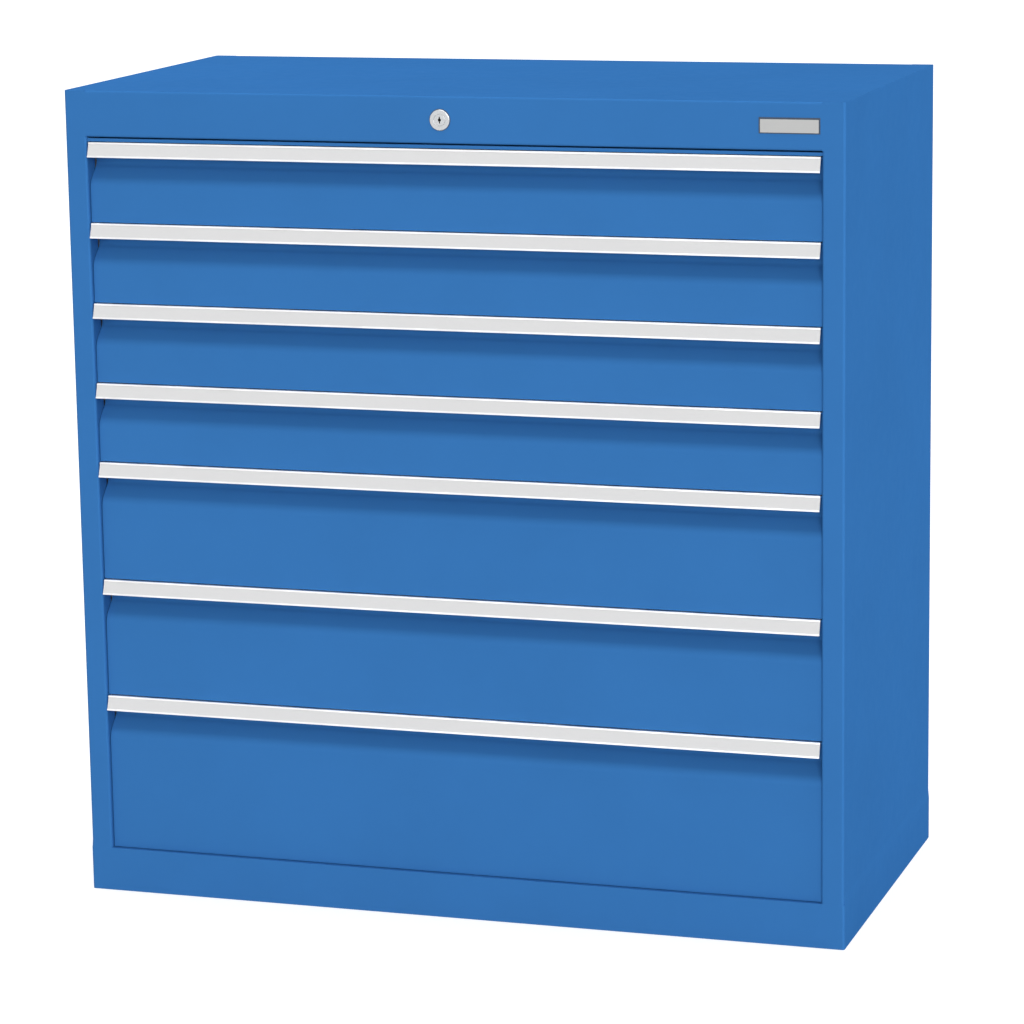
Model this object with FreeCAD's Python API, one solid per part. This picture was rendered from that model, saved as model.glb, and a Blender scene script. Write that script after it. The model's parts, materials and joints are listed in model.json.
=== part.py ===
import FreeCAD, Part
import math
import os
from FreeCAD import Vector

os.makedirs("parts", exist_ok=True)

# A steel drawer cabinet with seven full-width drawers, in millimetres.
# X runs to the right, Y to the back, Z up; the front faces -Y and the floor is Z = 0.
# X = 0 is the middle of the width, Y = 0 the middle of the overall depth, grips included.

# Cabinet shell
cabinet_width = 980.0
cabinet_depth = 500.0
post_width = 27.6
post_return = 24.0
rear_flange = 20.0
shell_sheet = 1.5
back_sheet = 1.2
bend_radius = 1.5
fascia_height = 56.8
fascia_return = 14.0
top_rear_flange = 18.0
floor_setback = 34.0
cut_over = 6.0

# Plinth
plinth_height = 55.5
plinth_proud = 1.0
plinth_top_flange = 42.0
plinth_foot_flange = 25.0

# Recessed rail between the top drawer and the fascia
top_rail_recess = 3.0
top_rail_hem = 4.0
top_rail_hem_depth = 8.0
top_rail_gap = 1.9
top_rail_depth = 60.0
top_rail_upstand = 22.0

# Drawer heights, one module each, listed from the bottom up
tall_module = 200.0
middle_module = 150.0
low_module = 100.0
modules = (tall_module, middle_module, middle_module, low_module, low_module, low_module, low_module)
front_gap = 0.8

# Drawer front panel, its top set back as a finger recess
front_recess = 6.0
front_side_gap = 0.8
front_sheet = 1.2
front_depth = 22.0
finger_recess = 48.0
finger_slope = 20.0
finger_head_bend = 8.0
finger_foot_bend = 18.0

# Grip profile along the top of each front, and the strip in its channel
grip_proud = 5.0
grip_top_recess = 1.0
grip_height = 18.0
grip_sheet = 1.4
grip_flange = 11.0
grip_end_gap = 1.1
channel_depth = 1.2
channel_lip = 1.5
lip_hook = 0.7
lip_hook_sheet = 0.5
label_sheet = 0.6
label_gap = 0.1

# Drawer tray
tray_sheet = 1.0
tray_floor_sheet = 1.2
tray_floor_lift = 5.0
tray_headroom = 20.0
room_behind_tray = 35.3
slot_width = 3.0
slot_margin = 14.0
cross_slot_pitch = 75.0
side_slot_pitch = 100.0

# Full-extension slide: cabinet rail, middle rail with glides, drawer rail
rail_sheet = 1.5
rail_half_height = 13.0
rail_lip = 3.0
rail_stand_off = 0.6
slide_height = 40.0
slide_front_setback = 34.0
slide_rear_setback = 12.0
middle_web = 2.4
middle_flange = 14.0
middle_flange_sheet = 1.6
middle_gap = 0.6
glide_clear = 0.3
glide_side_clear = 0.8
glide_width = 7.0
glide_neck_clear = 0.5
lip_clear = 0.7
glide_length = 40.0
glide_spacing = 120.0

# Slotted uprights that carry the cabinet rails
upright_width = 30.0
rear_upright_setback = 22.0
upright_slot_width = 5.0
upright_slot_height = 18.0
upright_slot_pitch = 50.0

# Lock in the fascia
lock_from_middle = -3.5
lock_face_radius = 12.5
lock_face_depth = 2.0
lock_face_chamfer = 0.6
lock_barrel_radius = 9.5
lock_barrel_length = 24.0
lock_hole_clear = 0.1
plug_radius = 7.0
plug_clear = 0.15
keyway_width = 1.4
keyway_height = 8.0
keyway_depth = 9.0
keyway_hub_radius = 1.9
nut_radius = 13.5
nut_depth = 4.0
nut_sides = 6

# Lock shaft, its crank disc and the bar that it lifts behind the drawers
shaft_radius = 4.0
shaft_clear = 0.3
crank_throw = 14.0
crank_half_turn = 45.0
crank_thickness = 8.0
crank_rim = 4.0
crank_gap = 2.5
pin_radius = 3.0
pin_clear = 0.8
pin_tail = 2.0
bar_sheet = 2.0
bar_from_tray = 5.3
bar_left = 26.0
bar_right = 2.0
bar_top_over_pin = 12.0
bar_head = 32.0
bar_foot = 12.0
tab_reach = 16.0
tab_height = 10.0
tab_drop = 5.0
catch_height = 45.0
catch_sheet = 2.0
catch_lip = 16.0
catch_lip_sheet = 2.5
catch_width = 10.0
catch_from_bar = 4.0
catch_behind_bar = 1.5
guide_wall = 8.0
guide_front_wall = 3.1
guide_height = 20.0
guide_level = 75.0
guide_clear = 0.4
bracket_sheet = 2.0
bracket_half_width = 15.0
bracket_drop = 10.0
bracket_foot = 16.0
bracket_from_crank = 14.0

# Bare plate in the corner of the fascia
badge_width = 71.3
badge_height = 17.0
badge_sheet = 0.8
badge_from_post = 3.1

# Places that follow from the sizes
half_width = cabinet_width / 2
y_front = (grip_proud - cabinet_depth) / 2
y_back = y_front + cabinet_depth
opening_half = half_width - post_width
module_base = plinth_height + front_gap
opening_top = module_base + sum(modules) + top_rail_hem + top_rail_gap
cabinet_top = opening_top + fascia_height
shell_top = cabinet_top - shell_sheet
outer_bend = bend_radius + shell_sheet
back_inner = y_back - shell_sheet - back_sheet

front_face = y_front + front_recess
front_rear = front_face + front_depth
tray_rear = back_inner - room_behind_tray

lip_face = opening_half - glide_side_clear - glide_width - lip_clear - rail_sheet
web_middle = lip_face - lip_clear - middle_web / 2
upright_face = opening_half + rail_stand_off + rail_sheet
slide_front = y_front + slide_front_setback
slide_rear = tray_rear - slide_rear_setback
tray_half = 2 * web_middle - upright_face

lock_z = opening_top + fascia_height / 2
crank_lift = crank_throw * math.sin(math.radians(crank_half_turn))
bar_front = tray_rear + bar_from_tray
bar_rear = bar_front + bar_sheet
crank_rear = bar_front - crank_gap
crank_front = crank_rear - crank_thickness
crank_radius = crank_throw + pin_radius + crank_rim
bar_x = (lock_from_middle - bar_left, lock_from_middle + bar_right)
across = (-opening_half, opening_half)


# Box between two places on each axis
def block(xs, ys, zs):
    corner = Vector(min(xs), min(ys), min(zs))
    return Part.makeBox(abs(xs[1] - xs[0]), abs(ys[1] - ys[0]), abs(zs[1] - zs[0]), corner)


# Round bar along Y between two places
def round_bar(x, z, ys, radius):
    return Part.makeCylinder(radius, ys[1] - ys[0], Vector(x, ys[0], z), Vector(0, 1, 0))


def joined(solids):
    return solids[0].multiFuse(solids[1:]).removeSplitter()


def mirrored(solid):
    return solid.mirror(Vector(0, 0, 0), Vector(1, 0, 0))


def both_sides(solids):
    return solids + [mirrored(solid) for solid in solids]


# Edges through the points, each inner corner rounded by its own radius
def rounded_path(points, radii, place):
    edges = []
    start = points[0]
    for before, corner, after, radius in zip(points, points[1:], points[2:], radii):
        way_in = (corner - before).normalize()
        way_out = (after - corner).normalize()
        half_turn = way_in.getAngle(way_out) / 2
        toward = (way_out - way_in).normalize()
        centre = corner + toward * (radius / math.cos(half_turn))
        reach = radius * math.tan(half_turn)
        arc_start = corner - way_in * reach
        arc_end = corner + way_out * reach
        edges.append(Part.makeLine(place(start), place(arc_start)))
        if radius > 0:
            arc_middle = centre - toward * radius
            arc = Part.Arc(place(arc_start), place(arc_middle), place(arc_end))
            edges.append(arc.toShape())
        start = arc_end
    edges.append(Part.makeLine(place(start), place(points[-1])))
    return edges


# Section of a sheet that follows the outline on its left-hand side and bends at each inner corner
def bent_section(outline, sheet, inner_radii, place):
    points = [Vector(u, v, 0) for u, v in outline]
    ways = [(b - a).normalize() for a, b in zip(points, points[1:])]
    lefts = [Vector(-way.y, way.x, 0) for way in ways]
    offset = [points[0] + lefts[0] * sheet]
    near_radii = []
    far_radii = []
    for corner, left, next_left, way, inner in zip(points[1:], lefts, lefts[1:], ways[1:], inner_radii):
        across_corner = (left + next_left).normalize()
        offset.append(corner + across_corner * (sheet / across_corner.dot(left)))
        turns_left = left.dot(way) > 0
        near_radii.append(inner + sheet if turns_left and inner else inner)
        far_radii.append(inner if turns_left or not inner else inner + sheet)
    offset.append(points[-1] + lefts[-1] * sheet)
    edges = rounded_path(points, near_radii, place)
    edges.append(Part.makeLine(place(points[-1]), place(offset[-1])))
    edges += rounded_path(offset[::-1], far_radii[::-1], place)
    edges.append(Part.makeLine(place(offset[0]), place(points[0])))
    return Part.Face(Part.Wire(edges))


def same_bends(outline, inner_radius):
    return [inner_radius for corner in outline[1:-1]]


# Bent sheet standing between two heights, outlined in plan
def upright_sheet(outline, sheet, inner_radius, zs):
    radii = same_bends(outline, inner_radius)
    face = bent_section(outline, sheet, radii, lambda p: Vector(p.x, p.y, zs[0]))
    return face.extrude(Vector(0, 0, zs[1] - zs[0]))


# Bent sheet running across the cabinet, outlined in depth and height
def crosswise_sheet(outline, sheet, inner_radius, xs):
    radii = same_bends(outline, inner_radius)
    face = bent_section(outline, sheet, radii, lambda p: Vector(xs[0], p.x, p.y))
    return face.extrude(Vector(xs[1] - xs[0], 0, 0))


# Rolled rail running front to back, outlined in width and height
def lengthwise_sheet(outline, sheet, inner_radius, ys):
    radii = same_bends(outline, inner_radius)
    face = bent_section(outline, sheet, radii, lambda p: Vector(p.x, ys[0], p.y))
    return face.extrude(Vector(0, ys[1] - ys[0], 0))


# Prism across the cabinet from corner points in depth and height
def crosswise_prism(corners, xs):
    ring = [Vector(xs[0], y, z) for y, z in corners]
    face = Part.Face(Part.makePolygon(ring + ring[:1]))
    return face.extrude(Vector(xs[1] - xs[0], 0, 0))


# Evenly spaced places that keep a margin inside both ends
def spread(low, high, pitch):
    count = max(int((high - low) / pitch), 1)
    first = (low + high - (count - 1) * pitch) / 2
    return [first + step * pitch for step in range(count)]


def save(name, solids):
    whole = solids[0] if len(solids) == 1 else Part.makeCompound(solids)
    whole.exportStep("parts/" + name + ".step")


# Side panel with the front post folded from the same sheet
def side_panel():
    outline = [
        (opening_half, y_front + post_return),
        (opening_half, y_front),
        (half_width, y_front),
        (half_width, y_back),
        (half_width - rear_flange, y_back),
    ]
    return upright_sheet(outline, shell_sheet, bend_radius, (plinth_height, shell_top))


# Top sheet, its front folded down between the posts as the fascia
def top_panel():
    outline = [
        (y_back, cabinet_top - top_rear_flange),
        (y_back, cabinet_top),
        (y_front, cabinet_top),
        (y_front, opening_top),
        (y_front + fascia_return, opening_top),
    ]
    folded = crosswise_sheet(outline, shell_sheet, bend_radius, across)
    ear = block((opening_half, half_width), (y_front, y_back), (shell_top, cabinet_top))
    corners = [edge for edge in ear.Edges if stands_at(edge, half_width)]
    ear = ear.makeFillet(outer_bend, corners)
    panel = joined([folded, ear, mirrored(ear)])
    hole_radius = lock_barrel_radius + lock_hole_clear
    hole = round_bar(lock_from_middle, lock_z, (y_front - cut_over, y_front + cut_over), hole_radius)
    return panel.cut(hole)


# True for an upright edge at this distance from the middle
def stands_at(edge, x):
    low, high = edge.Vertexes[0].Point, edge.Vertexes[-1].Point
    upright = abs(low.z - high.z) > abs(low.y - high.y) + abs(low.x - high.x)
    return upright and math.isclose(abs(low.x), x, rel_tol=1e-6)


# Back panel, spot-welded against the flanges and clear of their bends
def back_panel():
    xs = (outer_bend - half_width, half_width - outer_bend)
    return block(xs, (back_inner, back_inner + back_sheet), (plinth_height, cabinet_top - outer_bend))


def bottom_panel():
    xs = (outer_bend - half_width, half_width - outer_bend)
    ys = (y_front + floor_setback, back_inner)
    return block(xs, ys, (plinth_height, plinth_height + shell_sheet))


# Recessed rail above the top drawer, hemmed along its front edge
def top_rail():
    base = module_base + sum(modules)
    front = y_front + top_rail_recess
    rear = y_front + top_rail_depth
    outline = [(front, base), (rear, base), (rear, base + top_rail_upstand)]
    sheet = crosswise_sheet(outline, shell_sheet, 0, across)
    hem = block(across, (front, front + top_rail_hem_depth), (base, base + top_rail_hem))
    return joined([sheet, hem])


# Ring of folded sheet, a flange turned in at its head and its foot
def plinth():
    half = half_width + plinth_proud
    ring = block((-half, half), (y_front, y_back), (0, plinth_height))
    ring = ring.makeFillet(outer_bend, [edge for edge in ring.Edges if stands_at(edge, half)])
    hollow = inset_block(half, shell_sheet, (shell_sheet, plinth_height - shell_sheet))
    head = inset_block(half, plinth_top_flange, (plinth_height / 2, plinth_height + cut_over))
    foot = inset_block(half, plinth_foot_flange, (-cut_over, plinth_height / 2))
    return ring.cut(hollow).cut(head).cut(foot)


def inset_block(half, inset, zs):
    return block((inset - half, half - inset), (y_front + inset, y_back - inset), zs)


# Slotted channel screwed to the inside of the side panel
def upright(front):
    outer = half_width - shell_sheet
    rear = front + upright_width
    outline = [(outer, rear), (upright_face, rear), (upright_face, front), (outer, front)]
    height = (plinth_height + shell_sheet, module_base + sum(modules))
    channel = upright_sheet(outline, rail_sheet, 0, height)
    middle = (front + rear) / 2
    slot_y = (middle - upright_slot_width / 2, middle + upright_slot_width / 2)
    slot_x = (upright_face - cut_over, upright_face + cut_over)
    slots = []
    for z in spread(height[0], height[1], upright_slot_pitch):
        slots.append(block(slot_x, slot_y, (z - upright_slot_height / 2, z + upright_slot_height / 2)))
    return channel.cut(slots)


# Rail with turned-in lips, open towards the middle rail
def cabinet_rail(z):
    low, high = z - rail_half_height, z + rail_half_height
    lip = rail_sheet + rail_lip
    outline = [
        (lip_face, low + lip),
        (lip_face, low),
        (upright_face, low),
        (upright_face, high),
        (lip_face, high),
        (lip_face, high - lip),
    ]
    return lengthwise_sheet(outline, rail_sheet, 0, (slide_front, slide_rear))


# The drawer's rail is the same section, turned about the middle rail's web
def drawer_rail(z):
    return cabinet_rail(z).mirror(Vector(web_middle, 0, 0), Vector(1, 0, 0))


# Middle rail: an I section whose flanges pass over both outer rails
def middle_rail(z):
    ys = (slide_front, slide_rear)
    reach = rail_half_height + middle_gap
    web_x = (web_middle - middle_web / 2, web_middle + middle_web / 2)
    flange_x = (web_middle - middle_flange / 2, web_middle + middle_flange / 2)
    web = block(web_x, ys, (z - reach, z + reach))
    head = block(flange_x, ys, (z + reach, z + reach + middle_flange_sheet))
    foot = block(flange_x, ys, (z - reach - middle_flange_sheet, z - reach))
    return joined([web, head, foot])


# Glide on the middle rail, its neck between the lips and its head inside the rail
def glide(z, ys):
    inner_half = rail_half_height - rail_sheet
    neck_half = inner_half - rail_lip - glide_neck_clear
    head_half = inner_half - glide_clear
    neck_start = web_middle + middle_web / 2
    head_start = neck_start + 2 * lip_clear + rail_sheet
    neck = block((neck_start, head_start), ys, (z - neck_half, z + neck_half))
    head = block((head_start, head_start + glide_width), ys, (z - head_half, z + head_half))
    return joined([neck, head])


# The outer glides sit at the rear half, the inner glides at the front half
def glides(z):
    web_plane = Vector(web_middle, 0, 0)
    outer = [slide_rear - glide_length, slide_rear - glide_length - glide_spacing]
    inner = [slide_front, slide_front + glide_spacing]
    solids = [glide(z, (y, y + glide_length)) for y in outer]
    for y in inner:
        solids.append(glide(z, (y, y + glide_length)).mirror(web_plane, Vector(1, 0, 0)))
    return solids


# Front panel: one sheet curved back under the grip, its ends closed behind the face
def drawer_front(base, head):
    half = opening_half - front_side_gap
    recess_face = front_rear - front_sheet
    slope_foot = head - finger_recess
    slope_top = slope_foot + finger_slope
    recess = [
        (recess_face, head - front_sheet),
        (recess_face, slope_top),
        (front_face, slope_foot),
        (front_face, base),
        (front_rear, base),
    ]
    outline = [(front_face, head - front_sheet)] + recess
    bends = [0, finger_head_bend, finger_foot_bend, 0]
    section = bent_section(outline, front_sheet, bends, lambda p: Vector(-half, p.x, p.y))
    sheet = section.extrude(Vector(2 * half, 0, 0))
    end_outline = [Vector(y, z, 0) for y, z in recess + [(front_rear, head - front_sheet)]]
    end_bends = [finger_head_bend, finger_foot_bend + front_sheet, 0, 0]
    edges = rounded_path(end_outline, end_bends, lambda p: Vector(-half, p.x, p.y))
    edges.append(Part.makeLine(edges[-1].Vertexes[-1].Point, edges[0].Vertexes[0].Point))
    end_plate = Part.Face(Part.Wire(edges)).extrude(Vector(front_sheet, 0, 0))
    return joined([sheet, end_plate, mirrored(end_plate)])


# Place on the grip's sloping face: down the slope from its top edge, and in from its outer plane
def on_slope(head, down, inward):
    run = grip_proud + grip_top_recess
    length = math.hypot(run, grip_height)
    y = y_front + grip_top_recess - (down * run - inward * grip_height) / length
    z = head - (down * grip_height + inward * run) / length
    return y, z


def slope_length():
    return math.hypot(grip_proud + grip_top_recess, grip_height)


# Extruded grip: a flange over the front panel, and a sloping face with a lipped channel
def grip(head):
    half = opening_half - front_side_gap - grip_end_gap
    depth = channel_depth + grip_sheet
    slope = slope_length()
    hook = lip_hook_sheet
    flange_y = y_front + grip_top_recess + grip_flange
    run = grip_proud + grip_top_recess
    under_flange = (grip_sheet * slope - depth * run) / grip_height
    corners = [
        (flange_y, head),
        on_slope(head, 0, 0),
        on_slope(head, channel_lip + lip_hook, 0),
        on_slope(head, channel_lip + lip_hook, hook),
        on_slope(head, channel_lip, hook),
        on_slope(head, channel_lip, channel_depth),
        on_slope(head, slope - channel_lip, channel_depth),
        on_slope(head, slope - channel_lip, hook),
        on_slope(head, slope - channel_lip - lip_hook, hook),
        on_slope(head, slope - channel_lip - lip_hook, 0),
        on_slope(head, slope, 0),
        on_slope(head, slope, depth),
        on_slope(head, under_flange, depth),
        (flange_y, head - grip_sheet),
    ]
    return crosswise_prism(corners, (-half, half))


# Blank strip slid into the grip's channel
def label_strip(head):
    half = opening_half - front_side_gap - grip_end_gap
    top = channel_lip + label_gap
    foot = slope_length() - channel_lip - label_gap
    outer = channel_depth - label_sheet
    corners = [
        on_slope(head, top, outer),
        on_slope(head, foot, outer),
        on_slope(head, foot, channel_depth),
        on_slope(head, top, channel_depth),
    ]
    return crosswise_prism(corners, (-half, half))


# Tray walls with slots for dividers, welded round a floor plate
def tray(base, height):
    floor_z = base + tray_floor_lift
    rim = floor_z + height - tray_headroom - tray_floor_lift
    wall_z = (floor_z + tray_floor_sheet, rim)
    slot_z = (wall_z[0] + slot_margin, wall_z[1] - slot_margin)
    inner_half = tray_half - tray_sheet
    floor = block((-tray_half, tray_half), (front_rear, tray_rear), (floor_z, wall_z[0]))
    side = block((inner_half, tray_half), (front_rear, tray_rear), wall_z)
    side_slots = slot_row(front_rear, tray_rear, side_slot_pitch)
    side = side.cut([block((0, half_width), ys, slot_z) for ys in side_slots])
    solids = [floor, side, mirrored(side)]
    cross_slots = slot_row(-inner_half, inner_half, cross_slot_pitch)
    for near, far in ((front_rear, front_rear + tray_sheet), (tray_rear - tray_sheet, tray_rear)):
        wall = block((-inner_half, inner_half), (near, far), wall_z)
        cuts = [block(xs, (near - cut_over, far + cut_over), slot_z) for xs in cross_slots]
        solids.append(wall.cut(cuts))
    return solids


def slot_row(low, high, pitch):
    return [(place - slot_width / 2, place + slot_width / 2) for place in spread(low, high, pitch)]


# Hook plate behind the tray: an arm over the bar's tab and a lip behind it
def catch(base):
    low = base + catch_height
    arm_z = (low + catch_lip, low + catch_lip + catch_sheet)
    lip_y = (bar_rear + catch_behind_bar, bar_rear + catch_behind_bar + catch_lip_sheet)
    left = bar_x[1] + catch_from_bar
    xs = (left, left + catch_width)
    arm = block(xs, (tray_rear, lip_y[1]), arm_z)
    lip = block(xs, lip_y, (low, arm_z[1]))
    return joined([arm, lip])


# Barrel of the lock with its collar in front of the fascia, and the nut behind it
def lock_housing():
    collar = round_bar(lock_from_middle, lock_z, (y_front - lock_face_depth, y_front), lock_face_radius)
    rim = [edge for edge in collar.Edges if edge.BoundBox.YMax < y_front - lock_face_depth / 2]
    collar = collar.makeChamfer(lock_face_chamfer, rim)
    barrel = round_bar(lock_from_middle, lock_z, (y_front, y_front + lock_barrel_length), lock_barrel_radius)
    ends = (y_front - lock_face_depth - cut_over, y_front + lock_barrel_length + cut_over)
    bore = round_bar(lock_from_middle, lock_z, ends, plug_radius + plug_clear)
    return joined([collar, barrel]).cut(bore)


def lock_nut():
    start = y_front + shell_sheet
    ring = []
    for side in range(nut_sides):
        angle = 2 * math.pi * side / nut_sides
        x = lock_from_middle + nut_radius * math.cos(angle)
        ring.append(Vector(x, start, lock_z + nut_radius * math.sin(angle)))
    nut = Part.Face(Part.makePolygon(ring + ring[:1])).extrude(Vector(0, nut_depth, 0))
    hole_radius = lock_barrel_radius + lock_hole_clear
    return nut.cut(round_bar(lock_from_middle, lock_z, (start - cut_over, start + cut_over), hole_radius))


# Plug with an upright keyway
def lock_plug():
    face = y_front - lock_face_depth
    plug = round_bar(lock_from_middle, lock_z, (face, y_front + lock_barrel_length), plug_radius)
    key_x = (lock_from_middle - keyway_width / 2, lock_from_middle + keyway_width / 2)
    key_z = (lock_z - keyway_height / 2, lock_z + keyway_height / 2)
    slit = block(key_x, (face - cut_over, face + keyway_depth), key_z)
    hub = round_bar(lock_from_middle, lock_z, (face - cut_over, face + keyway_depth), keyway_hub_radius)
    return plug.cut([slit, hub])


# Shaft from the plug to the back, with a crank disc and its pin at the end
def lock_shaft():
    shaft = round_bar(lock_from_middle, lock_z, (y_front + lock_barrel_length, crank_rear), shaft_radius)
    disc = round_bar(lock_from_middle, lock_z, (crank_front, crank_rear), crank_radius)
    pin_ends = (crank_rear, bar_rear + pin_tail)
    pin = round_bar(lock_from_middle - crank_lift, lock_z - crank_lift, pin_ends, pin_radius)
    return joined([shaft, disc, pin])


# Lifting bar: a flat strip, a tab welded on for each drawer, and a head with a cross slot for the pin
def lock_bar(bases):
    pin_z = lock_z - crank_lift
    top = pin_z + bar_top_over_pin
    ys = (bar_front, bar_rear)
    strip = block(bar_x, ys, (module_base + bar_foot, top - bar_head))
    head = block(bar_x, ys, (top - bar_head, top))
    slot_half = pin_radius + pin_clear
    slot_x = (lock_from_middle - crank_throw - slot_half, lock_from_middle - crank_lift + slot_half)
    slot_y = (bar_front - cut_over, bar_rear + cut_over)
    solids = [strip, head.cut(block(slot_x, slot_y, (pin_z - slot_half, pin_z + slot_half)))]
    for base in bases:
        tab_top = base + catch_height - tab_drop
        solids.append(block((bar_x[1], bar_x[1] + tab_reach), ys, (tab_top - tab_height, tab_top)))
    return solids


# Plastic guide on the back panel, with a slot that the bar runs through
def bar_guide(base):
    low = base + guide_level
    zs = (low, low + guide_height)
    xs = (bar_x[0] - guide_wall, bar_x[1] + guide_wall)
    body = block(xs, (bar_front - guide_front_wall - guide_clear, back_inner), zs)
    run_x = (bar_x[0] - guide_clear, bar_x[1] + guide_clear)
    run_y = (bar_front - guide_clear, bar_rear + guide_clear)
    return body.cut(block(run_x, run_y, (low - cut_over, low + guide_height + cut_over)))


# Bracket under the top panel that carries the shaft near its crank
def shaft_bracket():
    xs = (lock_from_middle - bracket_half_width, lock_from_middle + bracket_half_width)
    rear = crank_front - bracket_from_crank
    ys = (rear - bracket_sheet, rear)
    plate = block(xs, ys, (lock_z - bracket_drop, shell_top))
    foot = block(xs, (rear, rear - bracket_foot), (shell_top - bracket_sheet, shell_top))
    hole_y = (ys[0] - cut_over, ys[1] + cut_over)
    return joined([plate, foot]).cut(round_bar(lock_from_middle, lock_z, hole_y, shaft_radius + shaft_clear))


# Bare badge plate on the fascia
def badge_plate():
    right = opening_half - badge_from_post
    zs = (lock_z - badge_height / 2, lock_z + badge_height / 2)
    return block((right - badge_width, right), (y_front - badge_sheet, y_front), zs)


bases = [module_base + sum(modules[:index]) for index in range(len(modules))]

save("side_panel_right", [side_panel()])
save("side_panel_left", [mirrored(side_panel())])
save("top_panel", [top_panel()])
save("back_panel", [back_panel()])
save("bottom_panel", [bottom_panel()])
save("top_rail", [top_rail()])
save("plinth", [plinth()])
save("front_uprights", both_sides([upright(slide_front)]))
save("rear_uprights", both_sides([upright(slide_rear - rear_upright_setback - upright_width)]))
save("cabinet_rails", both_sides([cabinet_rail(base + slide_height) for base in bases]))
save("lock_bar_guides", [bar_guide(base) for base in (bases[0], bases[len(bases) // 2], bases[-1])])
save("lock_shaft_bracket", [shaft_bracket()])
save("badge_plate", [badge_plate()])
save("lock_housing", [lock_housing()])
save("lock_nut", [lock_nut()])
save("lock_plug", [lock_plug()])
save("lock_shaft", [lock_shaft()])
save("lock_bar", lock_bar(bases))

# Drawers, numbered from the top down
for index, (base, height) in enumerate(zip(bases, modules)):
    name = "drawer_" + str(len(modules) - index)
    head = base + height - front_gap
    rail_z = base + slide_height
    save(name + "_front", [drawer_front(base, head - grip_sheet)])
    save(name + "_grip", [grip(head)])
    save(name + "_label_strip", [label_strip(head)])
    save(name + "_tray", tray(base, height))
    save(name + "_rails", both_sides([drawer_rail(rail_z)]) + [catch(base)])
    save(name + "_middle_rails", both_sides([middle_rail(rail_z)] + glides(rail_z)))
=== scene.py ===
import json
import math
import bmesh
import bpy
from mathutils import Matrix, Vector
from mathutils.bvhtree import BVHTree


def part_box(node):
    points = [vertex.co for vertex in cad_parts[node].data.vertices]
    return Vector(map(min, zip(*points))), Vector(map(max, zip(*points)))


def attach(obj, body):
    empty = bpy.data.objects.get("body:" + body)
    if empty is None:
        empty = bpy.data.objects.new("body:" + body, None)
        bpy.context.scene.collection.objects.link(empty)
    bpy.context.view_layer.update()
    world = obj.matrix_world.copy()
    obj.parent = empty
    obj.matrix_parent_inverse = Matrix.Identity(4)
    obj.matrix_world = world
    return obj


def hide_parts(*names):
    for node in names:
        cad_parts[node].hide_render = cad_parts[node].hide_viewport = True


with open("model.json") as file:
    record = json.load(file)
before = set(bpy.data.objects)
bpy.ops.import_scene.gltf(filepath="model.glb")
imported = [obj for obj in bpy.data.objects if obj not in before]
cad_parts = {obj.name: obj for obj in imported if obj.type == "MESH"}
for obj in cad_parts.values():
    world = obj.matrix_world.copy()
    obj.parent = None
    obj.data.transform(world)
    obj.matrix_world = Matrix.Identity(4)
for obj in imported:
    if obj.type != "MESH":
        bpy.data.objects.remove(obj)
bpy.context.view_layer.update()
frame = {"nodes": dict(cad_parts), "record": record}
nodes = frame["nodes"]
bodies = frame["record"]["behaviour"]["bodies"]
bodyOf = {node: body for body, members in bodies.items() for node in members}
print("frame loaded:", len(nodes), "nodes")


def middleOf(node):
    low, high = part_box(node)
    return (low + high) / 2


# Node helpers, for the finishes and for the fasteners' tree

# One node with its sockets filled by value or by link
def addNode(tree, kind, sockets=None, **settings):
    node = tree.nodes.new(kind)
    for key, value in settings.items():
        setattr(node, key, value)
    for key, value in (sockets or {}).items():
        if isinstance(value, bpy.types.NodeSocket):
            tree.links.new(value, node.inputs[key])
        else:
            node.inputs[key].default_value = value
    return node


def newMaterial(name):
    material = bpy.data.materials.new(name)
    material.use_nodes = True
    return material, material.node_tree, material.node_tree.nodes["Principled BSDF"]


def objectPlace(tree, scale=(1, 1, 1), centre=(0, 0, 0)):
    place = addNode(tree, "ShaderNodeTexCoord").outputs["Object"]
    moved = [-c * s for c, s in zip(centre, scale)]
    mapping = addNode(tree, "ShaderNodeMapping", {"Vector": place, "Location": moved, "Scale": scale})
    return mapping.outputs["Vector"]


def noise(tree, place, scale, detail, roughness):
    sockets = {"Vector": place, "Scale": scale, "Detail": detail, "Roughness": roughness}
    return addNode(tree, "ShaderNodeTexNoise", sockets).outputs["Fac"]


def remap(tree, value, low, high, newLow=0.0, newHigh=1.0):
    sockets = {"Value": value, "From Min": low, "From Max": high, "To Min": newLow, "To Max": newHigh}
    return addNode(tree, "ShaderNodeMapRange", sockets).outputs["Result"]


def calculated(tree, operation, first, second):
    return addNode(tree, "ShaderNodeMath", {0: first, 1: second}, operation=operation).outputs[0]


def times(tree, first, second):
    return calculated(tree, "MULTIPLY", first, second)


def scaledVector(tree, vector, share):
    return addNode(tree, "ShaderNodeVectorMath", {0: vector, "Scale": share}, operation="SCALE").outputs[0]


def blendColours(tree, share, first, second):
    mix = addNode(tree, "ShaderNodeMix", {0: share, 6: first, 7: second}, data_type="RGBA")
    return mix.outputs[2]


# The look's colour, from its deep to its pale tone along a mask
def toned(tree, mask, look):
    deep, pale = (tuple(min(1.0, c * share) for c in look["colour"]) + (1.0,) for share in look["tones"])
    return blendColours(tree, mask, deep, pale)


rubbedHighlightPatches = (0.44, 0.62)    # the span of a noise over which the edges lighten: coating and polish thin there, and a painted highlight


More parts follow.
